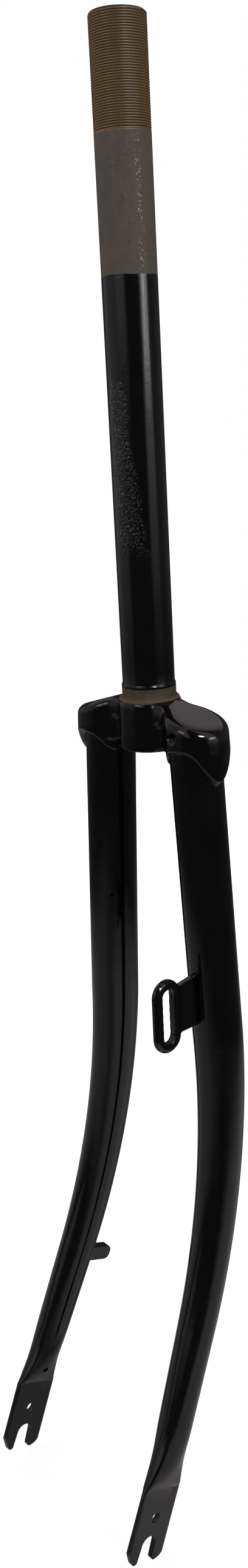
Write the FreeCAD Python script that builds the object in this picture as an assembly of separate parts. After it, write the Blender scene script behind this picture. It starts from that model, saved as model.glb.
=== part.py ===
# Bicycle fork: threaded steerer, lugged crown and two round raked blades with flattened, slotted ends,
# a slotted lamp loop on the left blade and a brake lug on the right blade.
# Millimetres. +Z runs up the steerer, -Y is the way the bicycle travels, +X is the rider's left.
# The origin lies on the steerer axis, at the foot of the crown race seat.
import FreeCAD, Part
import math
import os

Vector = FreeCAD.Vector
ORIGIN = Vector(0, 0, 0)
AXIS_X = Vector(1, 0, 0)
AXIS_Y = Vector(0, 1, 0)
AXIS_Z = Vector(0, 0, 1)

# Steerer tube
steerer_od = 25.4
steerer_bore = 22.2
steerer_height = 298.0
steerer_chamfer = 0.8
thread_od = 25.0
thread_length = 47.6
thread_runout = 1.1

# Brazed fit between tubes, crown and fittings
braze_gap = 0.05

# Crown: race seat and centre boss
race_seat_od = 26.4
race_seat_height = 6.2
race_seat_flare = 1.6
boss_od = 31.0
boss_depth = 24.4

# Crown: shoulders and sockets
socket_centre = 31.0
socket_od = 30.8
socket_outset = 1.9
socket_front_depth = 19.5
socket_skirt_start = 22.0
socket_skirt_end = 43.0
socket_skirt_taper = 2.0
shoulder_peak = 4.8
shoulder_slope_deg = 17.0
shoulder_top_depth = 0.4
shoulder_chamfer = 2.4
waist_width = 19.0
waist_blend = 6.0

# Crown: scalloped lower edge of a socket, with a long outer point and a short inner one
outer_point_drop = 16.6
outer_point_start_deg = 25.0
inner_point_drop = 7.0
inner_point_start_deg = 5.0
inner_point_full_deg = 55.0
edge_bevel = 2.4
edge_samples = 20

# Crown: upright grooves between boss and sockets, and the threaded hole in the left socket
groove_radius = 2.6
groove_outset = 0.1
groove_lift = 0.3
groove_top_depth = 8.7
crown_hole_diameter = 6.0
crown_hole_depth = 12.7

# Blades
blade_od = 25.4
blade_tip_od = 16.5
blade_wall = 1.5
blade_insertion = 10.0
blade_straight = 149.0
bend_radius = 380.0
bend_deg = 23.6
blade_end_straight = 80.8
bend_stations = 7
inside_bend_stations = 5

# Flattened blade ends
hub_width = 103.0
end_thickness = 3.0
end_width = 26.0
end_length = 38.6
flatten_length = 36.0
flatten_power = 2.5
flatten_stations = 6
inside_flatten_stations = 3
inside_flatten_share = 0.86
front_corner_start = 31.0
front_corner_width = 8.2
rear_corner_radius = 7.0
prong_tip_fillet = 1.4

# Axle slot, eyelet, drain hole and vent hole of a blade
axle_slot_width = 9.5
axle_slot_mouth = 10.8
axle_slot_top = 24.6
eyelet_diameter = 5.2
eyelet_distance = 15.0
drain_diameter = 3.4
drain_distance = 9.0
vent_diameter = 2.0
vent_distance = 88.5
vent_turn_deg = 46.0

# Lamp loop on the front of the left blade
loop_distance = 127.0
loop_width = 16.8
loop_height = 37.0
loop_thickness = 4.4
loop_edge_chamfer = 1.4
loop_slot_width = 7.4
loop_slot_height = 27.6
loop_reach = 32.6
loop_lean_deg = -3.4
web_thickness = 3.2
web_top_ring = 12.0
web_top_blade = 17.0
web_bottom = 10.8

# Brake lug on the back of the right blade
lug_distance = 161.0
lug_thickness = 5.0
lug_height = 8.2
lug_reach = 26.3
lug_corner_radius = 3.6

# Longer than any cut made below
reach = 80.0

# Values worked out from the sizes above
steerer_radius = steerer_od / 2
boss_radius = boss_od / 2
socket_radius = socket_od / 2
blade_radius = blade_od / 2
bend = math.radians(bend_deg)
bend_length = bend_radius * bend
raked_length = bend_length + blade_end_straight
blade_drop = blade_straight + bend_radius * math.sin(bend) + blade_end_straight * math.cos(bend)
end_centre_x = (hub_width + end_thickness) / 2
splay_deg = math.degrees(math.asin((end_centre_x - socket_centre) / blade_drop))
socket_point = Vector(socket_centre, 0, -socket_front_depth)


def turned_about_x(shape, angle_deg):
    """A copy turned about the X axis."""
    turned = shape.copy()
    turned.rotate(ORIGIN, AXIS_X, angle_deg)
    return turned


def moved(shape, offset):
    """A copy moved by an offset."""
    copy = shape.copy()
    copy.translate(offset)
    return copy


def on_left_blade(shape):
    """Set a shape drawn about an upright blade axis on the splayed axis of the left blade."""
    placed = shape.copy()
    placed.rotate(ORIGIN, AXIS_Y, -splay_deg)
    placed.translate(socket_point)
    return placed


def to_other_side(shape):
    """Mirror a left piece into the right one."""
    return shape.mirror(ORIGIN, AXIS_X)


def cylinder_between(start, end, radius):
    """A round bar from one point to another."""
    along = end - start
    return Part.makeCylinder(radius, along.Length, start, along)


def revolved(profile):
    """A solid turned about the Z axis, from a closed profile of radii and levels."""
    corners = [Vector(radius, 0, level) for radius, level in profile]
    outline = Part.makePolygon(corners + corners[:1])
    return Part.Face(outline).revolve(ORIGIN, AXIS_Z, 360)


def prism_x(points, thickness):
    """A flat plate, centred on X = 0, from an outline in the YZ plane."""
    corners = [Vector(-thickness / 2, y, z) for y, z in points]
    outline = Part.makePolygon(corners + corners[:1])
    return Part.Face(outline).extrude(Vector(thickness, 0, 0))


def stadium_x(width, height, thickness):
    """A plate with round top and bottom, centred on the origin, in the YZ plane."""
    radius = width / 2
    half_straight = height / 2 - radius
    plate = Part.makeBox(thickness, width, 2 * half_straight, Vector(-thickness / 2, -radius, -half_straight))
    for level in (-half_straight, half_straight):
        start = Vector(-thickness / 2, 0, level)
        plate = plate.fuse(Part.makeCylinder(radius, thickness, start, AXIS_X))
    return plate.removeSplitter()


def oval_wire(half_width, half_thickness, pressed):
    """Closed outline of four arcs, wide along Y and thin along X.

    The share pressed runs from 0, a circle or an ellipse, to 1, two flat sides with half-round ends.
    """
    diagonal = math.sqrt(0.5)
    corner_x = half_thickness * (diagonal + (1 - diagonal) * pressed)
    corner_y = half_width * diagonal * (1 - pressed) + (half_width - half_thickness) * pressed
    corners = [(corner_x, -corner_y), (corner_x, corner_y), (-corner_x, corner_y), (-corner_x, -corner_y)]
    middles = [(half_thickness, 0), (0, half_width), (-half_thickness, 0), (0, -half_width)]
    edges = []
    for index, middle in enumerate(middles):
        start = Vector(*corners[index], 0)
        end = Vector(*corners[(index + 1) % len(corners)], 0)
        if pressed == 1 and middle[1] == 0:
            edges.append(Part.makeLine(start, end))
        else:
            edges.append(Part.Arc(start, Vector(*middle, 0), end).toShape())
    return Part.Wire(edges)


# The blade's centre line, with the blade axis upright and the origin level with the socket's front edge

def path_turn_deg(distance):
    """How far the raked part has turned forward, at a distance past the start of the bend."""
    return math.degrees(min(max(distance, 0.0), bend_length) / bend_radius)


def path_point(distance):
    """Point on the centre line, at a distance past the start of the bend."""
    turn = math.radians(path_turn_deg(distance))
    past_bend = max(distance - bend_length, 0.0)
    before_bend = min(distance, 0.0)
    forward = bend_radius * (1 - math.cos(turn)) + past_bend * math.sin(turn)
    down = blade_straight + before_bend + bend_radius * math.sin(turn) + past_bend * math.cos(turn)
    return Vector(0, -forward, -down)


def on_path(shape, distance):
    """Set a shape drawn about the origin square to the centre line, at a distance past the bend's start."""
    return moved(turned_about_x(shape, -path_turn_deg(distance)), path_point(distance))


def tube_radius(distance):
    """Outer radius of the tapering blade, at a distance past the start of the bend."""
    share = max(distance, 0.0) / raked_length
    return blade_radius + (blade_tip_od - blade_od) / 2 * share


def on_left_end(shape):
    """Set a shape drawn about the top of a flattened end on the left blade, square to the axle."""
    top = on_left_blade(Part.Vertex(path_point(raked_length))).Point
    return moved(turned_about_x(shape, -bend_deg), top)


def tapered_tube(offset, stations):
    """Solid of the bent, tapering part of the left blade, with its surface moved outward by an offset."""
    distances = [bend_length * step / stations for step in range(stations + 1)]
    distances.append(raked_length - flatten_length)
    sections = []
    for distance in distances:
        ring = Part.Wire(Part.makeCircle(tube_radius(distance) + offset))
        sections.append(on_left_blade(on_path(ring, distance)))
    # The last outline is a free curve, so that the strip above it is ruled like the rest
    sections[-1] = Part.Wire(sections[-1].toNurbs().Edges)
    return Part.makeLoft(sections, True, True)


def pressed_section(share, offset):
    """Outline of the tube at a share of the way from round to flat, with its surface moved outward."""
    radius = tube_radius(raked_length - flatten_length * (1 - share))
    pressed = share ** flatten_power
    half_width = radius + (end_width / 2 - radius) * pressed
    half_thickness = radius + (end_thickness / 2 - radius) * pressed
    return oval_wire(half_width + offset, half_thickness + offset, pressed)


def flattening(offset, stations, last_share):
    """Solid that runs from the round tube towards the pressed end, up to a share of the way."""
    sections = []
    for station in range(stations + 1):
        share = last_share * station / stations
        section = pressed_section(share, offset)
        if share == 1:
            sections.append(on_left_end(section))
        else:
            distance = raked_length - flatten_length * (1 - share)
            sections.append(on_left_blade(on_path(section, distance)))
    return Part.makeLoft(sections, True, True)


def straight_tube(offset):
    """Solid of the straight top of the left blade, with its surface moved outward by an offset."""
    length = blade_insertion + blade_straight
    return on_left_blade(Part.makeCylinder(blade_radius + offset, length, Vector(0, 0, -blade_straight)))


def blade_outside():
    """Left blade as a solid bar, down to the top of its pressed end."""
    body = straight_tube(0).fuse(tapered_tube(0, bend_stations))
    return body.fuse(flattening(0, flatten_stations, 1))


def blade_inside():
    """Hollow of the left blade, which closes where the tube is pressed flat."""
    body = straight_tube(-blade_wall).fuse(tapered_tube(-blade_wall, inside_bend_stations))
    return body.fuse(flattening(-blade_wall, inside_flatten_stations, inside_flatten_share))


# Pieces

def steerer_tube():
    """Tube with a thread at its chamfered top, flush with the bottom of the crown."""
    bore_radius = steerer_bore / 2
    thread_radius = thread_od / 2
    thread_foot = steerer_height - thread_length
    return revolved([
        (bore_radius, -boss_depth),
        (steerer_radius, -boss_depth),
        (steerer_radius, thread_foot - thread_runout),
        (thread_radius, thread_foot),
        (thread_radius, steerer_height - steerer_chamfer),
        (thread_radius - steerer_chamfer, steerer_height),
        (bore_radius, steerer_height),
    ])


def centre_boss():
    """Upright boss with the flared race seat on top, still without its bore."""
    seat_radius = race_seat_od / 2
    return revolved([
        (0, -boss_depth),
        (boss_radius, -boss_depth),
        (boss_radius, 0),
        (seat_radius + race_seat_flare, 0),
        (seat_radius, race_seat_flare),
        (seat_radius, race_seat_height),
        (0, race_seat_height),
    ])


def shoulder_outline():
    """Plan of one shoulder about its blade axis: a round end and a waist that runs in to the boss."""
    waist = waist_width / 2
    round_end = Vector(socket_outset, 0, 0)
    blend_y = waist + waist_blend
    blend_x = -math.sqrt((socket_radius + waist_blend) ** 2 - blend_y ** 2)
    to_blend = Vector(blend_x, blend_y, 0)
    on_socket = round_end + to_blend * (socket_radius / to_blend.Length)
    on_waist = round_end + Vector(blend_x, waist, 0)
    from_blend = (on_socket + on_waist) * 0.5 - round_end - to_blend
    blend_middle = round_end + to_blend + from_blend.normalize() * waist_blend
    inner = Vector(-socket_centre - waist, waist, 0)

    def across(point):
        return Vector(point.x, -point.y, point.z)

    edges = [
        Part.makeLine(inner, on_waist),
        Part.Arc(on_waist, blend_middle, on_socket).toShape(),
        Part.Arc(on_socket, round_end + Vector(socket_radius, 0, 0), across(on_socket)).toShape(),
        Part.Arc(across(on_socket), across(blend_middle), across(on_waist)).toShape(),
        Part.makeLine(across(on_waist), across(inner)),
        Part.makeLine(across(inner), inner),
    ]
    return Part.Face(Part.Wire(edges))


def left_shoulder():
    """Left half of the crown: shoulder with a sloping, rounded top, and the tapering skirt below it."""
    skirt_start = socket_front_depth - socket_skirt_start
    block = moved(shoulder_outline(), Vector(0, 0, skirt_start)).extrude(Vector(0, 0, reach))
    block = on_left_blade(block)
    left_half = Part.makeBox(reach, 2 * reach, 2 * reach, Vector(0, -reach, -reach))
    block = block.common(left_half)
    above = Part.makeBox(2 * reach, 2 * reach, reach, Vector(-reach, -reach, 0))
    above.rotate(ORIGIN, AXIS_Y, shoulder_slope_deg)
    block = block.cut(moved(above, Vector(0, 0, shoulder_peak)))
    sloping = math.cos(math.radians(shoulder_slope_deg))
    roof = min(block.Faces, key=lambda face: abs(face.normalAt(0, 0).z - sloping))
    rim = [edge for edge in roof.OuterWire.Edges if edge.BoundBox.XLength > braze_gap]
    block = block.makeChamfer(shoulder_chamfer, rim)
    above_flat = Part.makeBox(2 * reach, 2 * reach, reach, Vector(-reach, -reach, -shoulder_top_depth))
    block = block.cut(above_flat)
    skirt_length = socket_skirt_end - socket_skirt_start
    skirt = Part.makeCone(socket_radius - socket_skirt_taper, socket_radius, skirt_length,
                          Vector(socket_outset, 0, skirt_start - skirt_length))
    return block.fuse(on_left_blade(skirt)).removeSplitter()


def ease(share):
    """Smooth rise from 0 to 1."""
    return math.sin(math.pi / 2 * min(max(share, 0.0), 1.0)) ** 2


def edge_level(angle_deg):
    """Level of a socket's lower edge, at an angle from the front; positive angles turn outward."""
    turn = 90 - abs(abs(angle_deg) - 90)
    if angle_deg >= 0:
        share = (turn - outer_point_start_deg) / (90 - outer_point_start_deg)
        return -outer_point_drop * ease(share)
    share = (turn - inner_point_start_deg) / (inner_point_full_deg - inner_point_start_deg)
    return -inner_point_drop * ease(share)


def scallop_ring(radius, rise):
    """Closed curve at one radius that follows a socket's lower edge, raised by a fixed amount."""
    points = []
    for sample in range(edge_samples):
        angle_deg = 360 * sample / edge_samples - 180
        angle = math.radians(angle_deg)
        level = edge_level(angle_deg) + rise
        points.append(Vector(radius * math.sin(angle), -radius * math.cos(angle), level))
    curve = Part.BSplineCurve()
    curve.interpolate(points, PeriodicFlag=True)
    return curve.toShape()


def scallop_cutter():
    """Wavy ring that trims a socket to its lower edge, with a bevel down to the blade."""
    inside = blade_radius - blade_wall
    outside = socket_radius + socket_outset + blade_wall
    slope = edge_bevel / (socket_radius - blade_radius)
    inner_ring = scallop_ring(inside, -slope * (socket_radius - inside))
    outer_ring = scallop_ring(outside, slope * (outside - socket_radius))
    return Part.makeRuledSurface(inner_ring, outer_ring).extrude(Vector(0, 0, -reach))


def groove_cutter(side):
    """Upright round-topped groove between boss and left socket, on one face of the crown."""
    across = side * (waist_width / 2 + groove_lift)
    top = Vector(boss_radius + groove_outset, across, -groove_top_depth - groove_radius)
    groove = cylinder_between(top - Vector(0, 0, reach), top, groove_radius)
    return groove.fuse(Part.makeCone(groove_radius, 0, groove_radius, top))


def crown_hole_cutter():
    """Threaded hole in the front of the left socket, drilled through to the inside of the blade."""
    drop = crown_hole_depth - socket_front_depth
    centre = on_left_blade(Part.Vertex(0, 0, -drop)).Point
    return Part.makeCylinder(crown_hole_diameter / 2, reach, centre, -AXIS_Y)


def fork_crown():
    """Crown with race seat, boss, shoulders and scalloped sockets."""
    left = left_shoulder()
    crown = centre_boss().fuse([left, to_other_side(left)]).removeSplitter()
    bore_top = blade_insertion + braze_gap
    socket_bore = Part.makeCylinder(blade_radius + braze_gap, reach + bore_top, Vector(0, 0, -reach))
    cutters = [on_left_blade(socket_bore), on_left_blade(scallop_cutter())]
    cutters += [groove_cutter(1), groove_cutter(-1)]
    cutters += [to_other_side(cutter) for cutter in cutters]
    for cutter in cutters:
        crown = crown.cut(cutter)
    crown = crown.cut(Part.makeCylinder(steerer_radius + braze_gap, 2 * reach, Vector(0, 0, -reach)))
    return crown.cut(crown_hole_cutter())


def flat_end():
    """Pressed end of a blade with its prongs, slot and eyelet, drawn from its top downward."""
    bar = Part.Face(pressed_section(1, 0)).extrude(Vector(0, 0, -end_length))
    half = end_width / 2
    front_points = [(-half, -front_corner_start), (-front_corner_width, -end_length), (-half, -end_length)]
    front_corner = prism_x(front_points, 2 * end_thickness)
    rear_start = Vector(-end_thickness, half - rear_corner_radius, -end_length)
    rear_block = Part.makeBox(2 * end_thickness, rear_corner_radius, rear_corner_radius, rear_start)
    rear_round = Part.makeCylinder(rear_corner_radius, 2 * end_thickness,
                                   rear_start + Vector(0, 0, rear_corner_radius), AXIS_X)
    slot_radius = axle_slot_width / 2
    slot_centre = axle_slot_top + slot_radius
    mouth = axle_slot_mouth / 2
    slot_points = [(-slot_radius, -slot_centre), (slot_radius, -slot_centre)]
    slot_points += [(mouth, -end_length), (-mouth, -end_length)]
    slot_round_start = Vector(-end_thickness, 0, -slot_centre)
    slot = prism_x(slot_points, 2 * end_thickness)
    slot = slot.fuse(Part.makeCylinder(slot_radius, 2 * end_thickness, slot_round_start, AXIS_X))
    plate = bar.cut(front_corner).cut(rear_block.cut(rear_round)).cut(slot)
    tips = [edge for edge in plate.Edges if edge.BoundBox.ZMax < -end_length + prong_tip_fillet
            and edge.BoundBox.XLength > end_thickness - braze_gap and edge.BoundBox.YLength < braze_gap]
    plate = plate.makeFillet(prong_tip_fillet, tips)
    eyelet = Part.makeCylinder(eyelet_diameter / 2, 2 * end_thickness,
                               Vector(-end_thickness, 0, -eyelet_distance), AXIS_X)
    return plate.cut(eyelet)


def plain_blade():
    """Left blade: hollow tapering tube, bent forward, with a pressed end and its vent and drain holes."""
    blade = blade_outside().cut(blade_inside()).fuse(on_left_end(flat_end()))
    drain = Part.makeCylinder(drain_diameter / 2, reach, Vector(0, 0, drain_distance), -AXIS_X)
    vent_turn = math.radians(vent_turn_deg)
    vent_way = Vector(-math.sin(vent_turn), -math.cos(vent_turn), 0)
    vent = Part.makeCylinder(vent_diameter / 2, reach, Vector(0, 0, -vent_distance), vent_way)
    blade = blade.cut(on_left_end(drain)).cut(on_left_blade(vent))
    return blade.removeSplitter()


def lamp_loop():
    """Slotted loop with rounded edges and a thin web, brazed to the front of the left blade."""
    ring = stadium_x(loop_width, loop_height, loop_thickness)
    ring = ring.makeChamfer(loop_edge_chamfer, ring.Edges)
    slot = stadium_x(loop_slot_width, loop_slot_height, 2 * loop_thickness)
    ring_centre = Vector(0, -loop_reach, 0)
    ring = moved(turned_about_x(ring, loop_lean_deg), ring_centre)
    slot = moved(turned_about_x(slot, loop_lean_deg), ring_centre)
    ring_back = -loop_reach
    web = prism_x([(ring_back, web_top_ring), (0, web_top_blade), (0, -web_bottom), (ring_back, -web_bottom)],
                  web_thickness)
    fitting = moved(ring.fuse(web).cut(slot), Vector(0, 0, -loop_distance))
    blade_space = Part.makeCylinder(blade_radius + braze_gap, 2 * reach, Vector(0, 0, -loop_distance - reach))
    return on_left_blade(fitting.cut(blade_space).removeSplitter())


def brake_lug():
    """Flat lug with round corners, brazed square to the back of the right blade."""
    half = lug_height / 2
    plate = prism_x([(0, half), (lug_reach, half), (lug_reach, -half), (0, -half)], lug_thickness)
    corners = [edge for edge in plate.Edges if edge.BoundBox.YMin > lug_reach - braze_gap
               and edge.BoundBox.XLength > lug_thickness - braze_gap]
    plate = plate.makeFillet(lug_corner_radius, corners)
    left = on_left_blade(on_path(plate, lug_distance))
    return to_other_side(left.cut(tapered_tube(braze_gap, bend_stations)))


left_plain = plain_blade()
pieces = {
    "steerer_tube": steerer_tube(),
    "fork_crown": fork_crown(),
    "left_blade": left_plain.cut(crown_hole_cutter()),
    "right_blade": to_other_side(left_plain),
    "lamp_loop": lamp_loop(),
    "brake_lug": brake_lug(),
}
os.makedirs("parts", exist_ok=True)
for name, shape in pieces.items():
    shape.exportStep("parts/" + name + ".step")
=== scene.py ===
# Bicycle fork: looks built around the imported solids, in metres, in the same frame.
# +Z runs up the steerer, -Y is the way the bicycle travels, +X is the rider's left.
import bmesh
import bpy
import math
from mathutils import Matrix, Vector


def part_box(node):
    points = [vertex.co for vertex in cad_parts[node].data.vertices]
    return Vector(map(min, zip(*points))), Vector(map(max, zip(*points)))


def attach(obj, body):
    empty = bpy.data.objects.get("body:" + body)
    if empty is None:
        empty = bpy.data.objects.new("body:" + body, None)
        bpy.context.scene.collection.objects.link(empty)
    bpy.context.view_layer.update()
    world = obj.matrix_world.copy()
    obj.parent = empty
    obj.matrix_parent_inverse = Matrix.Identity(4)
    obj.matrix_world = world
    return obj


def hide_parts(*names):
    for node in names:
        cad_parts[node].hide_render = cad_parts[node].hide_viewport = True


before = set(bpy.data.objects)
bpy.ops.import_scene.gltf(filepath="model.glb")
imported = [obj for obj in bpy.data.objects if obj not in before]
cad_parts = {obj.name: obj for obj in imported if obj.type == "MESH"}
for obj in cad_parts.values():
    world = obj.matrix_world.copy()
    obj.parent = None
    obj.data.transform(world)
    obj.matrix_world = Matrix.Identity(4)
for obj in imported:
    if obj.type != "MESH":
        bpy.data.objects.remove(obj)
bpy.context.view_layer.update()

# Sizes below are in millimetres
MM = 0.001

# Steerer
steerer_radius = 12.7
steerer_bore_radius = 11.1
steerer_bottom = -24.4
steerer_top = 298.0
steerer_chamfer = 0.8
thread_bottom = 250.4
thread_pitch = 25.4 / 24
thread_depth = 0.38
thread_sharpness = 2.2
thread_rows = 12
paint_top = 192.7
paint_thickness = 0.04
paint_edge = 1.2
# Each wave of the paint's edge: height, count round the tube, phase
paint_edge_waves = [(0.5, 2, 0.6), (0.25, 7, 0.0)]
paint_edge_zone = 2.0
collar_bottom = 6.2
collar_slope = 7.0
collar_top = 8.0
collar_rise = 0.45
steerer_segments = 96
plain_step = 5.0
collar_step = 0.1
paint_edge_step = 0.12
bore_step = 20.0
level_decimals = 4

# Race seat
seat_radius = 13.2
seat_height = 6.2
seat_flare = 1.6
seat_chamfer = 0.3
seat_root = 1.0
seat_gap = 0.05
flare_waist = 0.35
flare_waist_height = 1.2
flare_top = 2.08

# Blades
socket_centre = 31.0
socket_front = 19.5
blade_radius = 12.7
blade_tip_radius = 8.25
blade_insertion = 10.0
blade_straight = 149.0
bend_radius = 380.0
bend = math.radians(23.6)
blade_end_straight = 80.8
end_centre_x = 53.0
end_thickness = 3.0
end_width = 26.0
end_length = 38.6
flatten_length = 36.0
flatten_power = 2.5
quarter_segments = 18
skin = 0.06
straight_step = 8.0
bend_step = 3.0
rake_step = 4.0
flatten_step = 0.04
end_step = 6.0
straight_limit = 1e-6

# Holes and slots of a blade end
front_corner_start = 31.0
front_corner_width = 8.2
rear_corner_radius = 7.0
prong_tip_fillet = 1.4
front_corner_round = 6.0
fillet_segments = 6
rear_corner_step = 0.1
rear_fillet_points = 2
cut_overlap = 0.03
cut_margin = 2.0
slot_segments = 24
slot_radius = 4.75
slot_mouth = 5.4
slot_top = 24.6
eyelet_radius = 2.6
eyelet_distance = 15.0
eyelet_segments = 46
drain_radius = 1.7
drain_distance = 9.0
drain_start_depth = 2.0
vent_radius = 1.0
vent_reach = 4.0
vent_distance = 88.5
vent_turn = math.radians(46.0)
cut_length = 20.0
bar_segments = 32

# Rounding of the crown, the loop and the lug; each fade runs from its first value to its second
shoulder_fade = (12.0, 17.0)
groove_inner_fade = (8.0, 12.0)
groove_outer_fade = (18.0, 21.0)
groove_front_fade = (5.0, 8.0)
groove_foot_fade = (19.0, 23.0)
seat_depth_fade = (3.0, 6.0)
bore_fade = (12.8, 13.2)
boss_fade = (13.2, 14.6)
hole_fade = (3.6, 6.0)
smooth_factor = 0.5
crown_voxel = 0.44
crown_shoulder_rounds = 100
crown_rounds = 4
fitting_voxel = 0.25
loop_rounds = 14
lug_rounds = 12

# Edges sharper than these angles, in degrees, stay sharp
steerer_sharp = 50
blade_sharp = 24
soft_sharp = 60
seat_sharp = 40

# Threaded hole in the crown
crown_hole_centre = (30.6, -12.71)
crown_hole_radius = 2.95
crown_hole_front = 15.0
crown_hole_back = 11.0
crown_hole_inner = 6.0
crown_thread_pitch = 1.0
crown_thread_depth = 0.45
crown_thread_rows = 8
crown_thread_segments = 40
crown_thread_wall = 0.3

# Camera, from the photograph
sensor_width = 36.0
near_clip = 0.01
image_width = 408
image_height = 2576
focal_pixels = 2143.4
principal_point = (258.35, 1253.37)
camera_place = (466.16, -409.10, 143.04)
camera_azimuth = math.radians(48.7)
camera_yaw = math.radians(-0.17)
camera_pitch = math.radians(15.92)
camera_roll = math.radians(-2.68)

bend_length = bend_radius * bend
raked_length = bend_length + blade_end_straight
blade_drop = blade_straight + bend_radius * math.sin(bend) + blade_end_straight * math.cos(bend)
splay = math.asin((end_centre_x - socket_centre) / blade_drop)


# Mesh helpers

def spaced(start, end, step):
    """Values from start to end, evenly spaced at about the given step, with both ends."""
    count = max(1, round(abs(end - start) / step))
    return [start + (end - start) * index / count for index in range(count + 1)]


def smooth_step(value, low, high):
    """Smooth rise from 0 at low to 1 at high."""
    share = min(max((value - low) / (high - low), 0.0), 1.0)
    return share * share * (3 - 2 * share)


def mesh_object(name, points, faces):
    """A new object from points in millimetres."""
    mesh = bpy.data.meshes.new(name)
    mesh.from_pydata([Vector(point) * MM for point in points], [], faces)
    mesh.validate()
    piece = bpy.data.objects.new(name, mesh)
    bpy.context.scene.collection.objects.link(piece)
    return piece


def ring_faces(ring_count, size, closed):
    """Faces between rings of equal size; closed joins the last ring to the first, else the ends get caps."""
    faces = []
    for ring in range(ring_count if closed else ring_count - 1):
        lower = ring * size
        upper = (ring + 1) % ring_count * size
        for index in range(size):
            following = (index + 1) % size
            faces.append((lower + index, lower + following, upper + following, upper + index))
    if not closed:
        faces.append(tuple(reversed(range(size))))
        faces.append(tuple(range((ring_count - 1) * size, ring_count * size)))
    return faces


def shade(piece, angle_deg):
    """Smooth shading with sharp edges above an angle."""
    piece.data.polygons.foreach_set("use_smooth", [True] * len(piece.data.polygons))
    piece.data.set_sharp_from_angle(angle=math.radians(angle_deg))


def apply_modifiers(piece):
    """Bake the modifiers of a piece into its mesh."""
    depsgraph = bpy.context.evaluated_depsgraph_get()
    baked = bpy.data.meshes.new_from_object(piece.evaluated_get(depsgraph))
    piece.modifiers.clear()
    piece.data = baked


def cut(piece, cutters):
    """Cut pieces away and drop the cutters."""
    for cutter in cutters:
        modifier = piece.modifiers.new("cut", "BOOLEAN")
        modifier.operation = "DIFFERENCE"
        modifier.solver = "EXACT"
        modifier.object = cutter
    apply_modifiers(piece)
    for cutter in cutters:
        bpy.data.objects.remove(cutter)


def dress(piece, node, material):
    """Let a piece stand for a solid, with its material."""
    piece.data.materials.clear()
    piece.data.materials.append(material)
    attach(piece, "root")
    if node:
        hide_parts(node)


# Steerer

def steerer_surface(level, angle):
    """Outer radius of the steerer at a level and an angle."""
    edge = paint_top
    for height, count, phase in paint_edge_waves:
        edge += height * math.sin(count * angle + phase)
    painted = 1 - smooth_step(level, edge - paint_edge, edge)
    radius = steerer_radius + paint_thickness * painted
    radius += collar_rise * (1 - smooth_step(level, collar_slope, collar_top))
    if level < collar_bottom:
        radius = steerer_radius
    turns = (level - thread_bottom) / thread_pitch - angle / (2 * math.pi)
    depth = thread_depth * smooth_step(level, thread_bottom, thread_bottom + thread_pitch)
    radius -= depth * (0.5 - 0.5 * math.cos(2 * math.pi * turns)) ** thread_sharpness
    return min(radius, steerer_radius - steerer_chamfer + steerer_top - level)


def steerer_levels():
    """Levels of the outer rings, close together where the surface changes quickly."""
    edge_low, edge_high = paint_top - paint_edge_zone, paint_top + paint_edge_zone
    levels = spaced(steerer_bottom, collar_bottom, plain_step)
    levels += spaced(collar_bottom, collar_top, collar_step)
    levels += spaced(collar_top, edge_low, plain_step)
    levels += spaced(edge_low, edge_high, paint_edge_step)
    levels += spaced(edge_high, thread_bottom, plain_step)
    levels += spaced(thread_bottom, steerer_top, thread_pitch / thread_rows)
    return sorted(set(round(level, level_decimals) for level in levels))


def build_steerer():
    """Tube with a real thread at its top, and a coat of paint with an edge."""
    angles = [2 * math.pi * index / steerer_segments for index in range(steerer_segments)]
    points = []
    levels = steerer_levels()
    for level in levels:
        for angle in angles:
            radius = steerer_surface(level, angle)
            points.append((radius * math.cos(angle), radius * math.sin(angle), level))
    inner_levels = spaced(steerer_top, steerer_bottom, bore_step)
    bore = circle(steerer_bore_radius, (0, 0), steerer_segments)
    for level in inner_levels:
        points += [(x, y, level) for x, y in bore]
    faces = ring_faces(len(levels) + len(inner_levels), steerer_segments, True)
    piece = mesh_object("steerer_look", points, faces)
    shade(piece, steerer_sharp)
    return piece


# Blades

def arc_points(start, middle, end, count):
    """Points on the arc through three points in a plane, without the last one."""
    (ax, ay), (bx, by), (cx, cy) = start, middle, end
    area = 2 * (ax * (by - cy) + bx * (cy - ay) + cx * (ay - by))
    if abs(area) < straight_limit:
        return [(ax + (cx - ax) * k / count, ay + (cy - ay) * k / count) for k in range(count)]
    aa, bb, cc = ax * ax + ay * ay, bx * bx + by * by, cx * cx + cy * cy
    ox = (aa * (by - cy) + bb * (cy - ay) + cc * (ay - by)) / area
    oy = (aa * (cx - bx) + bb * (ax - cx) + cc * (bx - ax)) / area
    radius = math.hypot(ax - ox, ay - oy)
    first = math.atan2(ay - oy, ax - ox)
    sweep = (math.atan2(cy - oy, cx - ox) - first) % (2 * math.pi)
    turns = [first + sweep * k / count for k in range(count)]
    return [(ox + radius * math.cos(turn), oy + radius * math.sin(turn)) for turn in turns]


def oval(half_width, half_thickness, pressed):
    """Outline of a tube section, from round (pressed 0) to flat sides with half-round ends (pressed 1)."""
    diagonal = math.sqrt(0.5)
    x = half_thickness * (diagonal + (1 - diagonal) * pressed)
    y = half_width * diagonal * (1 - pressed) + (half_width - half_thickness) * pressed
    corners = [(x, -y), (x, y), (-x, y), (-x, -y)]
    middles = [(half_thickness, 0), (0, half_width), (-half_thickness, 0), (0, -half_width)]
    outline = []
    for index, middle in enumerate(middles):
        outline += arc_points(corners[index], middle, corners[(index + 1) % 4], quarter_segments)
    return outline


def path_turn(distance):
    """Angle that the blade has bent forward, at a distance past the start of its bend."""
    return min(max(distance, 0.0), bend_length) / bend_radius


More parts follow.
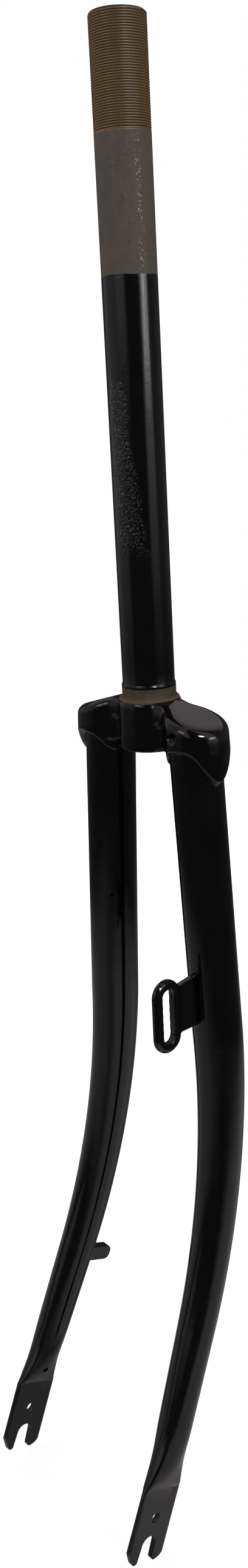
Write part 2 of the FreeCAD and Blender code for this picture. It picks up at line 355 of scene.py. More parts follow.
def path_point(distance):
    """Point on the blade's centre line, with the blade axis upright."""
    turn = path_turn(distance)
    past_bend = max(distance - bend_length, 0.0)
    forward = bend_radius * (1 - math.cos(turn)) + past_bend * math.sin(turn)
    down = blade_straight + min(distance, 0.0) + bend_radius * math.sin(turn) + past_bend * math.cos(turn)
    return Vector((0, -forward, -down))


def tube_radius(distance):
    """Radius of the tapering blade, a skin inside its solid, at a distance past the start of its bend."""
    return blade_radius - skin + (blade_tip_radius - blade_radius) * max(distance, 0.0) / raked_length


blade_turn = Matrix.Rotation(-splay, 3, "Y")
socket_point = Vector((socket_centre, 0, -socket_front))
end_top = blade_turn @ path_point(raked_length) + socket_point
end_turn = Matrix.Rotation(-bend, 3, "X")


def on_blade(point, distance):
    """Place a point drawn about the centre line on the left blade."""
    turned = Matrix.Rotation(-path_turn(distance), 3, "X") @ Vector(point)
    return blade_turn @ (turned + path_point(distance)) + socket_point


def on_end(point):
    """Place a point drawn about the top of the flat end on the left blade."""
    return end_turn @ Vector(point) + end_top


def blade_rings():
    """Sections of the left blade from its top to its tip."""
    rings = []
    flatten_start = raked_length - flatten_length
    distances = spaced(-blade_straight - blade_insertion, 0.0, straight_step)
    distances += spaced(0.0, bend_length, bend_step)[1:]
    distances += spaced(bend_length, flatten_start, rake_step)[1:]
    for distance in distances:
        radius = tube_radius(distance)
        section = oval(radius, radius, 0.0)
        rings.append([on_blade((x, y, 0), distance) for x, y in section])
    for share in spaced(0.0, 1.0, flatten_step)[1:]:
        distance = flatten_start + flatten_length * share
        radius = tube_radius(distance)
        pressed = share ** flatten_power
        half_width = radius + (end_width / 2 - radius) * pressed
        half_thickness = radius + (end_thickness / 2 - radius) * pressed
        section = oval(half_width, half_thickness, pressed)
        if share < 1.0:
            rings.append([on_blade((x, y, 0), distance) for x, y in section])
        else:
            rings.append([on_end((x, y, 0)) for x, y in section])
    for level in spaced(0.0, -end_length, end_step)[1:]:
        rings.append([on_end((x, y, level)) for x, y in oval(end_width / 2, end_thickness / 2, 1.0)])
    return rings


def prism(name, outline, place):
    """A closed bar through an outline of (y, z) points, set in place by a function."""
    points = [place((x, y, z)) for x in (-cut_length, cut_length) for y, z in outline]
    return mesh_object(name, points, ring_faces(2, len(outline), False))


def circle(radius, centre, count):
    """Outline of a circle, as points in its plane."""
    turns = [2 * math.pi * index / count for index in range(count)]
    return [(centre[0] + radius * math.cos(turn), centre[1] + radius * math.sin(turn)) for turn in turns]


def rounded_corner(before, corner, after, radius):
    """Points of a fillet between two straight runs of an outline."""
    before, corner, after = Vector(before), Vector(corner), Vector(after)
    inward = (before - corner).normalized()
    outward = (after - corner).normalized()
    half_angle = inward.angle(outward) / 2
    centre = corner + (inward + outward).normalized() * radius / math.sin(half_angle)
    first = corner + inward * radius / math.tan(half_angle) - centre
    last = corner + outward * radius / math.tan(half_angle) - centre
    shares = [index / fillet_segments for index in range(fillet_segments + 1)]
    return [tuple(centre + first.lerp(last, share).normalized() * radius) for share in shares]


def end_cutters():
    """Cutters for the eyelet, and for what lies below the prongs and in the slot of the flat end."""
    half = end_width / 2
    beside = half + cut_margin
    foot = -end_length + skin
    below = foot - cut_margin
    side = half + cut_overlap
    front_corner = (-side, -front_corner_start)
    front_tip = (-front_corner_width, foot)
    slot_foot = (-slot_mouth, foot)
    slot_centre = -slot_top - slot_radius
    turns = [math.pi * (1 - index / slot_segments) for index in range(slot_segments + 1)]
    slot = [(slot_radius * math.cos(turn), slot_centre + slot_radius * math.sin(turn)) for turn in turns]
    rear_centre = (half - rear_corner_radius, foot + rear_corner_radius)
    rear = []
    for turn in spaced(0.0, math.pi / 2, rear_corner_step)[rear_fillet_points:]:
        rear_y = rear_centre[0] + (side - rear_centre[0]) * math.sin(turn)
        rear.append((rear_y, rear_centre[1] - rear_corner_radius * math.cos(turn)))
    front = rounded_corner((-side, 0), front_corner, front_tip, front_corner_round)
    outline = [(-beside, below), (-beside, front[0][1])] + front
    outline += rounded_corner(front_corner, front_tip, slot_foot, prong_tip_fillet)
    outline += rounded_corner(front_tip, slot_foot, slot[0], prong_tip_fillet)
    outline += slot
    outline += rounded_corner(slot[-1], (slot_mouth, foot), (half, foot), prong_tip_fillet)
    outline += rear + [(beside, rear_centre[1]), (beside, below)]
    outline.reverse()
    eyelet = circle(eyelet_radius, (0, -eyelet_distance), eyelet_segments)
    return [prism("cutter", shape, on_end) for shape in (outline, eyelet)]


def bar_between(start, end, radius):
    """A round bar from one point to another."""
    along = (end - start).normalized()
    side = along.orthogonal().normalized()
    up = along.cross(side)
    points = []
    for centre in (start, end):
        for index in range(bar_segments):
            turn = 2 * math.pi * index / bar_segments
            points.append(centre + radius * (math.cos(turn) * side + math.sin(turn) * up))
    return mesh_object("cutter", points, ring_faces(2, bar_segments, False))


def build_blade(name, mirrored, crown_hole):
    """Blade with a smooth bend, a pressed and slotted end, and its small holes."""
    rings = blade_rings()
    points = [point for ring in rings for point in ring]
    piece = mesh_object(name, points, ring_faces(len(rings), len(rings[0]), False))
    drain_start = on_end((-drain_start_depth, 0, drain_distance))
    drain_end = drain_start - Vector((cut_length, 0, 0))
    way = Vector((-math.sin(vent_turn), -math.cos(vent_turn), 0))
    vent_level = vent_distance - blade_straight
    vent_start = on_blade(way * (blade_radius - vent_reach), vent_level)
    vent_end = on_blade(way * (blade_radius + vent_reach), vent_level)
    cutters = end_cutters()
    cutters.append(bar_between(drain_start, drain_end, drain_radius))
    cutters.append(bar_between(vent_start, vent_end, vent_radius))
    if crown_hole:
        x, z = crown_hole_centre
        hole_start = Vector((x, -crown_hole_inner, z))
        hole_end = Vector((x, -cut_length, z))
        cutters.append(bar_between(hole_start, hole_end, crown_hole_radius))
    cut(piece, cutters)
    if mirrored:
        piece.data.transform(Matrix.Diagonal((-1, 1, 1, 1)))
        piece.data.flip_normals()
    shade(piece, blade_sharp)
    return piece


# Crown and fittings

def keep_largest_part(piece):
    """Drop the specks that a remesh can leave beside the main body."""
    mesh = bmesh.new()
    mesh.from_mesh(piece.data)
    unseen = set(mesh.verts)
    parts = []
    while unseen:
        part = [unseen.pop()]
        for vertex in part:
            around = [edge.other_vert(vertex) for edge in vertex.link_edges]
            fresh = [other for other in around if other in unseen]
            unseen.difference_update(fresh)
            part.extend(fresh)
        parts.append(part)
    parts.sort(key=len)
    specks = [vertex for part in parts[:-1] for vertex in part]
    bmesh.ops.delete(mesh, geom=specks, context="VERTS")
    mesh.to_mesh(piece.data)
    mesh.free()


def softened(name, node, voxel, rounds, cutters=()):
    """A copy of a solid with its edges rounded off as under paint, by rounds of (weight, count)."""
    piece = bpy.data.objects.new(name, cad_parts[node].data.copy())
    bpy.context.scene.collection.objects.link(piece)
    cut(piece, cutters)
    remesh = piece.modifiers.new("remesh", "REMESH")
    remesh.mode = "VOXEL"
    remesh.voxel_size = voxel * MM
    apply_modifiers(piece)
    keep_largest_part(piece)
    for weight, count in rounds:
        group = piece.vertex_groups.new(name="soft")
        for vertex in piece.data.vertices:
            group.add([vertex.index], weight(vertex.co / MM), "REPLACE")
        smooth = piece.modifiers.new("smooth", "SMOOTH")
        smooth.factor = smooth_factor
        smooth.iterations = count
        smooth.vertex_group = group.name
        apply_modifiers(piece)
        piece.vertex_groups.clear()
    shade(piece, soft_sharp)
    return piece


def everywhere(point):
    """The same rounding all over."""
    return 1.0


def crown_softness(point):
    """Full rounding on the crown's shoulders and in its grooves, and none at its edges and its hole."""
    depth, across, forward = -point.z, abs(point.x), abs(point.y)
    shoulder = 1 - smooth_step(depth, *shoulder_fade)
    groove = smooth_step(across, *groove_inner_fade) * (1 - smooth_step(across, *groove_outer_fade))
    groove *= smooth_step(forward, *groove_front_fade)
    groove *= 1 - smooth_step(depth, *groove_foot_fade)
    from_axis = math.hypot(point.x, point.y)
    below_seat = smooth_step(depth, *seat_depth_fade) * smooth_step(from_axis, *bore_fade)
    clear_of_boss = max(smooth_step(from_axis, *boss_fade), below_seat)
    hole_x, hole_z = crown_hole_centre
    from_hole = math.hypot(point.x - hole_x, point.z - hole_z) if point.y < 0 else crown_hole_front
    return max(shoulder, groove) * clear_of_boss * smooth_step(from_hole, *hole_fade)


def build_crown():
    """Crown with soft shoulders, up to the foot of its race seat."""
    above_seat = bar_between(Vector((0, 0, 0)), Vector((0, 0, cut_length)), cut_length)
    rounds = [(crown_softness, crown_shoulder_rounds), (everywhere, crown_rounds)]
    return softened("crown_look", "fork_crown", crown_voxel, rounds, [above_seat])


def build_race_seat():
    """Turned ring with a flared foot, on top of the crown."""
    inner = steerer_radius + seat_gap
    profile = [(inner, -seat_root), (seat_radius + seat_flare, -seat_root), (seat_radius + seat_flare, 0.0)]
    profile += [(seat_radius + flare_waist, flare_waist_height), (seat_radius, flare_top)]
    profile += [(seat_radius, seat_height - seat_chamfer), (seat_radius - seat_chamfer, seat_height)]
    profile += [(inner, seat_height)]
    points = []
    for radius, level in profile:
        for index in range(steerer_segments):
            turn = 2 * math.pi * index / steerer_segments
            points.append((radius * math.cos(turn), radius * math.sin(turn), level))
    piece = mesh_object("race_seat_look", points, ring_faces(len(profile), steerer_segments, True))
    shade(piece, seat_sharp)
    return piece


def build_crown_thread():
    """Thread inside the hole in the crown."""
    count = crown_thread_segments
    x, z = crown_hole_centre
    depths = spaced(crown_hole_back, crown_hole_front, crown_thread_pitch / crown_thread_rows)
    points = []
    for depth in depths:
        for index in range(count):
            turn = 2 * math.pi * index / count
            turns = depth / crown_thread_pitch - turn / (2 * math.pi)
            radius = crown_hole_radius - crown_thread_depth * (0.5 + 0.5 * math.cos(2 * math.pi * turns))
            points.append((x + radius * math.cos(turn), -depth, z + radius * math.sin(turn)))
    for depth in (crown_hole_front, crown_hole_back):
        for index in range(count):
            turn = 2 * math.pi * index / count
            radius = crown_hole_radius + crown_thread_wall
            points.append((x + radius * math.cos(turn), -depth, z + radius * math.sin(turn)))
    piece = mesh_object("crown_hole_thread", points, ring_faces(len(depths) + 2, count, True))
    shade(piece, soft_sharp)
    return piece


# Materials

noise_mean = 0.5
relief_detail = 2.0


def new_material(name):
    """A material with its nodes, and the shader."""
    material = bpy.data.materials.new(name)
    material.use_nodes = True
    return material, material.node_tree, material.node_tree.nodes["Principled BSDF"]


def node(tree, kind, **values):
    """A node with settings."""
    made = tree.nodes.new(kind)
    for name, value in values.items():
        setattr(made, name, value)
    return made


def place_in_metres(tree):
    """Object coordinates, which are the part's own frame."""
    return tree.nodes.new("ShaderNodeTexCoord").outputs["Object"]


def noise(tree, scale, detail=4.0, roughness=0.55):
    """Noise over the surface, from 0 to 1; the scale is in waves per metre."""
    made = tree.nodes.new("ShaderNodeTexNoise")
    made.inputs["Scale"].default_value = scale
    made.inputs["Detail"].default_value = detail
    made.inputs["Roughness"].default_value = roughness
    tree.links.new(place_in_metres(tree), made.inputs["Vector"])
    return made.outputs["Fac"]


def math_node(tree, operation, first, second=None):
    """One operation on one or two sockets or numbers."""
    made = node(tree, "ShaderNodeMath", operation=operation)
    for index, value in enumerate((first, second)):
        if value is None:
            continue
        if isinstance(value, (int, float)):
            made.inputs[index].default_value = value
        else:
            tree.links.new(value, made.inputs[index])
    return made.outputs[0]


def product(tree, *masks):
    """Masks multiplied together."""
    total = masks[0]
    for mask in masks[1:]:
        total = math_node(tree, "MULTIPLY", total, mask)
    return total


def wandering(tree, scale, amount):
    """Noise about zero, with a total swing."""
    about_zero = math_node(tree, "SUBTRACT", noise(tree, scale), noise_mean)
    return math_node(tree, "MULTIPLY", about_zero, amount)


def in_metres(lengths, base=0.0):
    """Lengths in millimetres from a base, as metres."""
    return [(base + length) * MM for length in lengths]


def ranged(tree, value, low, high, start=0.0, end=1.0):
    """A value mapped smoothly from one range to another."""
    made = node(tree, "ShaderNodeMapRange", interpolation_type="SMOOTHSTEP")
    tree.links.new(value, made.inputs["Value"])
    for name, number in (("From Min", low), ("From Max", high), ("To Min", start), ("To Max", end)):
        made.inputs[name].default_value = number
    return made.outputs["Result"]


def mixed_colour(tree, factor, first, second):
    """Two colours, or colour sockets, mixed by a factor."""
    made = node(tree, "ShaderNodeMix", data_type="RGBA")
    tree.links.new(factor, made.inputs["Factor"])
    for name, value in (("A", first), ("B", second)):
        socket = [s for s in made.inputs if s.name == name and s.type == "RGBA"][0]
        if isinstance(value, tuple):
            socket.default_value = (*value, 1.0)
        else:
            tree.links.new(value, socket)
    return [s for s in made.outputs if s.type == "RGBA"][0]


def mixed_value(tree, factor, first, second):
    """Two numbers, or sockets, mixed by a factor."""
    made = node(tree, "ShaderNodeMix", data_type="FLOAT")
    tree.links.new(factor, made.inputs["Factor"])
    for name, value in (("A", first), ("B", second)):
        socket = [s for s in made.inputs if s.name == name and s.type == "VALUE"][0]
        if isinstance(value, (int, float)):
            socket.default_value = value
        else:
            tree.links.new(value, socket)
    return [s for s in made.outputs if s.type == "VALUE"][0]


def relief(tree, shader, heights):
    """Relief as a sum of noises: (waves per metre, height in millimetres, mask or None)."""
    total = None
    for scale, height, mask in heights:
        layer = math_node(tree, "MULTIPLY", noise(tree, scale, relief_detail), height)
        if mask is not None:
            layer = math_node(tree, "MULTIPLY", layer, mask)
        total = layer if total is None else math_node(tree, "ADD", total, layer)
    made = tree.nodes.new("ShaderNodeBump")
    made.inputs["Strength"].default_value = 1.0
    made.inputs["Distance"].default_value = MM
    tree.links.new(total, made.inputs["Height"])
    tree.links.new(made.outputs["Normal"], shader.inputs["Normal"])


# Paint: waves are per metre, here and below
middle_range = (0.3, 0.7)
paint_dark = (0.0012, 0.0012, 0.0014)
paint_pale = (0.0027, 0.0026, 0.0027)
paint_waves = 40.0
paint_range = (0.35, 0.65)
paint_dust = (0.020, 0.019, 0.018)
dust_waves = 2600.0
dust_range = (0.72, 0.80)
dust_detail = 2.0
gloss_waves = 90.0
gloss_roughness = (0.05, 0.10)
paint_ior = 1.5
coat_relief = [(120.0, 0.05, None), (900.0, 0.005, None)]


def paint_colour(tree):
    """Near-black with slow variation and specks of dust."""
    slow = ranged(tree, noise(tree, paint_waves), *paint_range)
    colour = mixed_colour(tree, slow, paint_dark, paint_pale)
    dust = ranged(tree, noise(tree, dust_waves, dust_detail), *dust_range)
    return mixed_colour(tree, dust, colour, paint_dust)


def paint_roughness(tree):
    """Gloss that varies a little."""
    return ranged(tree, noise(tree, gloss_waves), *middle_range, *gloss_roughness)


# Painted highlight along the crease at the top of each flat end, with its fades in millimetres
crease_highlight = (0.115, 0.108, 0.082)
crease_fade = (0.1, 0.6)
crease_rear_fade = (-4.0, 10.0)
crease_waves = 700.0
crease_range = (0.35, 0.6)


def along_end(tree, way):
    """Distance from the top of a flat end along one of its own directions."""
    axis = end_turn @ Vector(way)
    along = node(tree, "ShaderNodeVectorMath", operation="DOT_PRODUCT")
    along.inputs[1].default_value = axis
    tree.links.new(place_in_metres(tree), along.inputs[0])
    return math_node(tree, "SUBTRACT", along.outputs["Value"], axis.dot(end_top) * MM)


def crease_highlight_mask(tree):
    """Mask of a painted highlight along the crease at the top of each flat end, stronger towards its rear."""
    from_crease = math_node(tree, "ABSOLUTE", along_end(tree, (0, 0, 1)))
    on_crease = ranged(tree, from_crease, *in_metres(crease_fade), 1.0, 0.0)
    rearward = ranged(tree, along_end(tree, (0, 1, 0)), *in_metres(crease_rear_fade))
    broken_up = ranged(tree, noise(tree, crease_waves), *crease_range)
    return product(tree, on_crease, rearward, broken_up)


def black_paint(name, creased):
    """Gloss black enamel, with a painted highlight along a crease where asked for."""
    material, tree, shader = new_material(name)
    colour = paint_colour(tree)
    if creased:
        # Painted highlight along the crease, stronger towards its rear and broken up by noise
        colour = mixed_colour(tree, crease_highlight_mask(tree), colour, crease_highlight)
    tree.links.new(colour, shader.inputs["Base Color"])
    tree.links.new(paint_roughness(tree), shader.inputs["Roughness"])
    shader.inputs["IOR"].default_value = paint_ior
    relief(tree, shader, coat_relief)
    return material


def separated(tree):
    """The three object coordinates."""
    made = tree.nodes.new("ShaderNodeSeparateXYZ")
    tree.links.new(place_in_metres(tree), made.inputs[0])
    return made.outputs


# Race seat, with its fade in millimetres above its foot
seat_dark = (0.048, 0.027, 0.009)
seat_pale = (0.092, 0.054, 0.019)
seat_foot = (0.155, 0.088, 0.028)
seat_foot_fade = (0.2, 1.6)
foot_share = 0.8
seat_stain_waves = 350.0
seat_gloss_waves = 700.0
seat_roughness = (0.66, 0.78)
seat_relief = [(1500.0, 0.01, None)]


def race_seat_finish():
    """Bare steel browned with oil and rust, with a paler foot."""
    material, tree, shader = new_material("race_seat_look")
    stain = ranged(tree, noise(tree, seat_stain_waves), *middle_range)
    brown = mixed_colour(tree, stain, seat_dark, seat_pale)
    foot = ranged(tree, separated(tree)["Z"], *in_metres(seat_foot_fade), foot_share, 0.0)
    tree.links.new(mixed_colour(tree, foot, brown, seat_foot), shader.inputs["Base Color"])
    roughness = ranged(tree, noise(tree, seat_gloss_waves), *middle_range, *seat_roughness)
    tree.links.new(roughness, shader.inputs["Roughness"])
    relief(tree, shader, seat_relief)
    return material


# Flaking patch: levels and the front fade in millimetres, sides as shares of the steerer's radius
patch_right = (0.66, 0.751, 0.0)
patch_span = (64.0, 146.0)
patch_top_side = 0.34
patch_widening = 0.62
patch_edge_fade = (0.0, 0.12)
patch_left_fade = (-0.95, -0.82)
patch_top_fade = (146.5, 148.0)
patch_foot_fade = (67.0, 76.0)
patch_front_fade = (0.0, 4.0)
patch_wander = 0.5
patch_wander_waves = 130.0


def rough_patch(tree):
    """Mask of the flaking patch on the lower steerer, wider towards its foot."""
    x, y, z = separated(tree)
    across = node(tree, "ShaderNodeVectorMath", operation="DOT_PRODUCT")
    across.inputs[1].default_value = patch_right
    tree.links.new(place_in_metres(tree), across.inputs[0])
    side = math_node(tree, "DIVIDE", across.outputs["Value"], steerer_radius * MM)
    side = math_node(tree, "ADD", side, wandering(tree, patch_wander_waves, patch_wander))
    down = ranged(tree, z, *in_metres(patch_span), 1.0, 0.0)
    limit = math_node(tree, "SUBTRACT", math_node(tree, "MULTIPLY", down, patch_widening), patch_top_side)
    inside = ranged(tree, math_node(tree, "SUBTRACT", limit, side), *patch_edge_fade)
    not_edge = ranged(tree, side, *patch_left_fade)
    below_top = ranged(tree, z, *in_metres(patch_top_fade), 1.0, 0.0)
    above_foot = ranged(tree, z, *in_metres(patch_foot_fade))
    front = ranged(tree, math_node(tree, "SUBTRACT", x, y), *in_metres(patch_front_fade))
    return product(tree, inside, not_edge, below_top, above_foot, front)


# Steerer, with its fades, depths and wander in millimetres
flake_grey = (0.26, 0.252, 0.240)
flake_waves = 1700.0
flake_detail = 3.0
flake_noise_roughness = 0.7
flake_range = (0.58, 0.65)
steel_dark = (0.110, 0.086, 0.069)
steel_pale = (0.126, 0.101, 0.080)
stain_waves = 180.0
stain_detail = 5.0
thread_root = (0.070, 0.036, 0.013)
thread_crest = (0.210, 0.122, 0.042)
thread_rust = (0.132, 0.078, 0.024)
thread_foot = (0.260, 0.140, 0.045)
thread_fade = (-0.3, 0.6)
thread_foot_fade = (0.2, 1.6)
crest_depth = 0.08
rust_waves = 90.0
rust_range = (0.45, 0.75)
rust_share = 0.6
bare_fade = (-0.4, 0.2)
bare_wander = 1.6
bare_wander_waves = 220.0
steel_roughness = 0.75
speck_roughness = 0.14
speck_waves = 1100.0
speck_detail = 2.0
speck_range = (0.58, 0.64)
crest_roughness = 0.36
crest_range = (0.6, 1.0)
steerer_haze = 0.06
grain_relief = (1500.0, 0.014)
steel_relief = (1400.0, 0.03)
patch_relief = (900.0, 0.16)


def metal_colour(tree, crest, threaded):
    """Browned thread above satin steel."""
    z = separated(tree)["Z"]
    stain = ranged(tree, noise(tree, stain_waves, stain_detail), *middle_range)
    steel = mixed_colour(tree, stain, steel_dark, steel_pale)
    brown = mixed_colour(tree, crest, thread_root, thread_crest)
    rust = ranged(tree, noise(tree, rust_waves, stain_detail), *rust_range, 0.0, rust_share)
    brown = mixed_colour(tree, rust, brown, thread_rust)
    foot = ranged(tree, z, *in_metres(thread_foot_fade, thread_bottom), foot_share, 0.0)
    brown = mixed_colour(tree, foot, brown, thread_foot)
    return mixed_colour(tree, threaded, steel, brown)


def metal_roughness(tree, crest, threaded):
    """Matte steel with glinting specks, and smoother crests on the thread."""
    speck = ranged(tree, noise(tree, speck_waves, speck_detail), *speck_range)
    roughness = mixed_value(tree, speck, steel_roughness, speck_roughness)
    glint = product(tree, threaded, ranged(tree, crest, *crest_range))
    return mixed_value(tree, glint, roughness, crest_roughness)


def steerer_finish():
    """Brown thread, satin steel and gloss black paint, one above the other."""
    material, tree, shader = new_material("steerer_look")
    x, y, z = separated(tree)
    wavy = math_node(tree, "ADD", z, wandering(tree, bare_wander_waves, bare_wander * MM))
    bare = ranged(tree, wavy, *in_metres(bare_fade, paint_top))
    threaded = ranged(tree, z, *in_metres(thread_fade, thread_bottom))
    squares = math_node(tree, "ADD", product(tree, x, x), product(tree, y, y))
    from_axis = math_node(tree, "SQRT", squares)
    crest = ranged(tree, from_axis, *in_metres((-thread_depth, -crest_depth), steerer_radius))
    patch = rough_patch(tree)
    flake = ranged(tree, noise(tree, flake_waves, flake_detail, flake_noise_roughness), *flake_range)
    paint = mixed_colour(tree, product(tree, flake, patch), paint_colour(tree), flake_grey)
    metal = metal_colour(tree, crest, threaded)
    tree.links.new(mixed_colour(tree, bare, paint, metal), shader.inputs["Base Color"])
    paint_gloss = math_node(tree, "ADD", paint_roughness(tree), steerer_haze)
    roughness = mixed_value(tree, bare, paint_gloss, metal_roughness(tree, crest, threaded))
    tree.links.new(roughness, shader.inputs["Roughness"])
    relief(tree, shader, coat_relief + [(*grain_relief, None), (*steel_relief, bare), (*patch_relief, patch)])
    return material


def toward(tree, vector, bearing_deg, edge_deg, full_deg):
    """Mask of the points or directions that lie near a bearing about the upright axis."""
    level = node(tree, "ShaderNodeVectorMath", operation="MULTIPLY")
    level.inputs[1].default_value = (1, 1, 0)
    tree.links.new(vector, level.inputs[0])
    unit = node(tree, "ShaderNodeVectorMath", operation="NORMALIZE")
    tree.links.new(level.outputs["Vector"], unit.inputs[0])
    along = node(tree, "ShaderNodeVectorMath", operation="DOT_PRODUCT")
    bearing = math.radians(bearing_deg)
    along.inputs[1].default_value = (math.cos(bearing), math.sin(bearing), 0)
    tree.links.new(unit.outputs["Vector"], along.inputs[0])
    edge, full = (math.cos(math.radians(angle)) for angle in (edge_deg, full_deg))
    return ranged(tree, along.outputs["Value"], edge, full)


# Floor, with the painted reflection tones that it glows with in reflections: fades and spans in metres from
# the axis, views as a bearing, an edge and a full angle
floor_pale = (0.80, 0.79, 0.78)
floor_glow = (0.70, 1.0)
floor_reflection_far = (0.06, 0.058, 0.058)
floor_reflection_side = (0.15, 0.145, 0.145)
floor_reflection_left = (0.30, 0.29, 0.29)
floor_reflection_right = (0.50, 0.48, 0.47)
floor_roughness = 0.9
floor_fade = (0.6, 0.95)
floor_right_fade = (0.40, 0.66)
floor_glow_span = (0.2, 1.0)
floor_left_view = (-140.0, 75.0, 40.0)
floor_right_view = (15.0, 88.0, 48.0)


def floor_finish():
    """A pale floor: white with a soft shadow to the camera, and in reflections glowing with painted tones,
    dimmer away from the fork.
    """
    material, tree, shader = new_material("floor_look")
    shader.inputs["Base Color"].default_value = (*floor_pale, 1.0)
    shader.inputs["Roughness"].default_value = floor_roughness
    shader.inputs["Specular IOR Level"].default_value = 0.0
    place = place_in_metres(tree)
    distance = node(tree, "ShaderNodeVectorMath", operation="LENGTH")
    flat = node(tree, "ShaderNodeVectorMath", operation="MULTIPLY")
    flat.inputs[1].default_value = (1, 1, 0)
    tree.links.new(place, flat.inputs[0])
    tree.links.new(flat.outputs["Vector"], distance.inputs[0])
    away = distance.outputs["Value"]
    # Painted reflection: tones that the floor glows with in reflections, paler towards two views and dimmer
    # far from the fork
    near = ranged(tree, away, *floor_fade, 1.0, 0.0)
    near_right = ranged(tree, away, *floor_right_fade, 1.0, 0.0)
    level = mixed_colour(tree, toward(tree, place, *floor_left_view), floor_reflection_side, floor_reflection_left)
    level = mixed_colour(tree, near, floor_reflection_far, level)
    right = mixed_colour(tree, near_right, floor_reflection_far, floor_reflection_right)
    level = mixed_colour(tree, toward(tree, place, *floor_right_view), level, right)
    path = tree.nodes.new("ShaderNodeLightPath")
    # Glow of the painted reflection, seen only by glossy rays
    painted_reflection = tree.nodes.new("ShaderNodeEmission")
    tree.links.new(level, painted_reflection.inputs["Color"])
    glow = tree.nodes.new("ShaderNodeEmission")
    tree.links.new(ranged(tree, away, *floor_glow_span, *floor_glow), glow.inputs["Strength"])
    white = tree.nodes.new("ShaderNodeAddShader")
    tree.links.new(shader.outputs["BSDF"], white.inputs[0])
    tree.links.new(glow.outputs["Emission"], white.inputs[1])
    first = tree.nodes.new("ShaderNodeMixShader")
    second = tree.nodes.new("ShaderNodeMixShader")
    tree.links.new(path.outputs["Is Glossy Ray"], first.inputs["Fac"])
    tree.links.new(shader.outputs["BSDF"], first.inputs[1])
    tree.links.new(painted_reflection.outputs["Emission"], first.inputs[2])
    tree.links.new(path.outputs["Is Camera Ray"], second.inputs["Fac"])
    tree.links.new(first.outputs["Shader"], second.inputs[1])
    tree.links.new(white.outputs["Shader"], second.inputs[2])
    tree.links.new(second.outputs["Shader"], tree.nodes["Material Output"].inputs["Surface"])
    return material


# Stage, light and camera

floor_half = 1000.0
floor_drop = 4.0


def build_floor():
    """Pale floor below the fork."""
    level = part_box("left_blade")[0].z / MM - floor_drop
    signs = [(-1, -1), (1, -1), (1, 1), (-1, 1)]
    corners = [(floor_half * across, floor_half * along, level) for across, along in signs]
    floor = mesh_object("floor", corners, [(0, 1, 2, 3)])
    floor.data.materials.append(floor_finish())


# Tones of the room, for every ray but the camera's
room_dark = (0.060, 0.058, 0.060)
room_side = (0.14, 0.14, 0.145)
room_wall = (0.34, 0.34, 0.36)
room_lamp = (0.62, 0.62, 0.63)
room_window = (0.75, 0.73, 0.71)
room_ceiling = (0.60, 0.52, 0.54)
# Each view: bearing, edge and full angle in degrees, lowest and full rise, and tone
room_views = [
    (62.0, 48.0, 22.0, -0.22, -0.08, room_side),
    (-140.0, 46.0, 28.0, -0.30, -0.06, room_wall),
    (-84.0, 26.0, 9.0, -0.03, 0.08, room_lamp),
    (15.0, 24.0, 10.0, -0.21, -0.01, room_window),
    (150.0, 85.0, 55.0, 0.38, 0.52, room_ceiling),
]


def build_world():
    """White to the camera; otherwise a dim room with a paler wall, ceiling and window side."""
    world = bpy.data.worlds.new("studio")
    bpy.context.scene.world = world
    world.use_nodes = True
    tree = world.node_tree
    room = tree.nodes["Background"]
    direction = tree.nodes.new("ShaderNodeTexCoord").outputs["Generated"]
    parts = tree.nodes.new("ShaderNodeSeparateXYZ")
    tree.links.new(direction, parts.inputs[0])
    rise = parts.outputs["Z"]
    colour = room_dark
    for bearing, edge, full, low, high, tone in room_views:
        mask = product(tree, toward(tree, direction, bearing, edge, full), ranged(tree, rise, low, high))
        colour = mixed_colour(tree, mask, colour, tone)
    tree.links.new(colour, room.inputs["Color"])
    white = tree.nodes.new("ShaderNodeBackground")
    white.inputs["Color"].default_value = (1, 1, 1, 1)
    path = tree.nodes.new("ShaderNodeLightPath")
    mix = tree.nodes.new("ShaderNodeMixShader")
    tree.links.new(path.outputs["Is Camera Ray"], mix.inputs["Fac"])
    tree.links.new(room.outputs["Background"], mix.inputs[1])
    tree.links.new(white.outputs["Background"], mix.inputs[2])
    tree.links.new(mix.outputs["Shader"], tree.nodes["World Output"].inputs["Surface"])


def area_light(name, place, target, size, power, colour, in_gloss=True, in_diffuse=True):
    """A soft rectangular lamp aimed at a point, in metres and watts."""
    lamp = bpy.data.lights.new(name, "AREA")
    lamp.shape = "RECTANGLE"
    lamp.size, lamp.size_y = size
    lamp.energy = power
    lamp.color = colour
    light = bpy.data.objects.new(name, lamp)
    light.location = place
    light.rotation_euler = (Vector(target) - Vector(place)).to_track_quat("-Z", "Y").to_euler()
    light.visible_glossy = in_gloss
    light.visible_diffuse = in_diffuse
    bpy.context.scene.collection.objects.link(light)


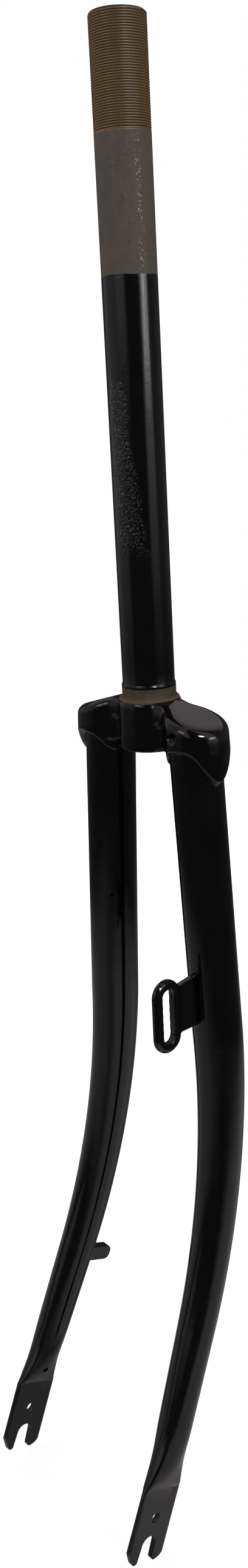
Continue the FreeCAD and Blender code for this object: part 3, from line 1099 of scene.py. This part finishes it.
def build_camera():
    """Camera at the photograph's viewpoint."""
    right = Vector((math.cos(camera_azimuth), math.sin(camera_azimuth), 0))
    forward = Vector((-math.sin(camera_azimuth), math.cos(camera_azimuth), 0))
    level = Matrix((right, (0, 0, -1), forward))
    turn = Matrix.Rotation(camera_roll, 3, "Z") @ Matrix.Rotation(camera_pitch, 3, "X")
    axes = turn @ Matrix.Rotation(camera_yaw, 3, "Y") @ level
    data = bpy.data.cameras.new("camera")
    data.sensor_width = sensor_width
    data.lens = focal_pixels * data.sensor_width / image_height
    data.shift_x = (image_width / 2 - principal_point[0]) / image_height
    data.shift_y = (principal_point[1] - image_height / 2) / image_height
    data.clip_start = near_clip
    camera = bpy.data.objects.new("camera", data)
    columns = Matrix((axes[0], -axes[1], -axes[2])).transposed()
    camera.matrix_world = Matrix.Translation(Vector(camera_place) * MM) @ columns.to_4x4()
    bpy.context.scene.collection.objects.link(camera)
    bpy.context.scene.camera = camera


paint = black_paint("black_paint_look", False)
blade_paint = black_paint("blade_paint_look", True)
dress(build_steerer(), "steerer_tube", steerer_finish())
dress(build_crown(), "fork_crown", paint)
dress(build_race_seat(), "fork_crown", race_seat_finish())
dress(build_blade("left_blade_look", False, True), "left_blade", blade_paint)
dress(build_blade("right_blade_look", True, False), "right_blade", blade_paint)
loop = softened("lamp_loop_look", "lamp_loop", fitting_voxel, [(everywhere, loop_rounds)])
lug = softened("brake_lug_look", "brake_lug", fitting_voxel, [(everywhere, lug_rounds)])
dress(loop, "lamp_loop", paint)
dress(lug, "brake_lug", paint)
dress(build_crown_thread(), None, paint)

build_floor()
build_world()
area_light("window", place=(1.54, 0.43, 0.41), target=(0, 0, 0.3), size=(0.75, 0.5), power=3.4,
           colour=(1.0, 0.98, 0.95))
area_light("sky", place=(1.54, 0.355, 0.50), target=(0, 0, 0.3), size=(0.14, 0.5), power=1.0,
           colour=(1.0, 0.99, 0.98))
area_light("far_window", place=(0.07, -2.0, 0.92), target=(0, 0, 0.1), size=(0.7, 0.45), power=5.0,
           colour=(1.0, 0.98, 0.96), in_diffuse=False)
area_light("lamp", place=(1.53, -0.38, 1.20), target=(0, 0, 0), size=(0.45, 0.45), power=24.0,
           colour=(1.0, 0.98, 0.96), in_diffuse=False)
area_light("fill", place=(-0.63, -1.36, 0.35), target=(0, 0, 0.2), size=(0.8, 0.8), power=4.0,
           colour=(1.0, 0.98, 0.95), in_gloss=False)
build_camera()

bpy.context.scene.view_settings.view_transform = "Standard"
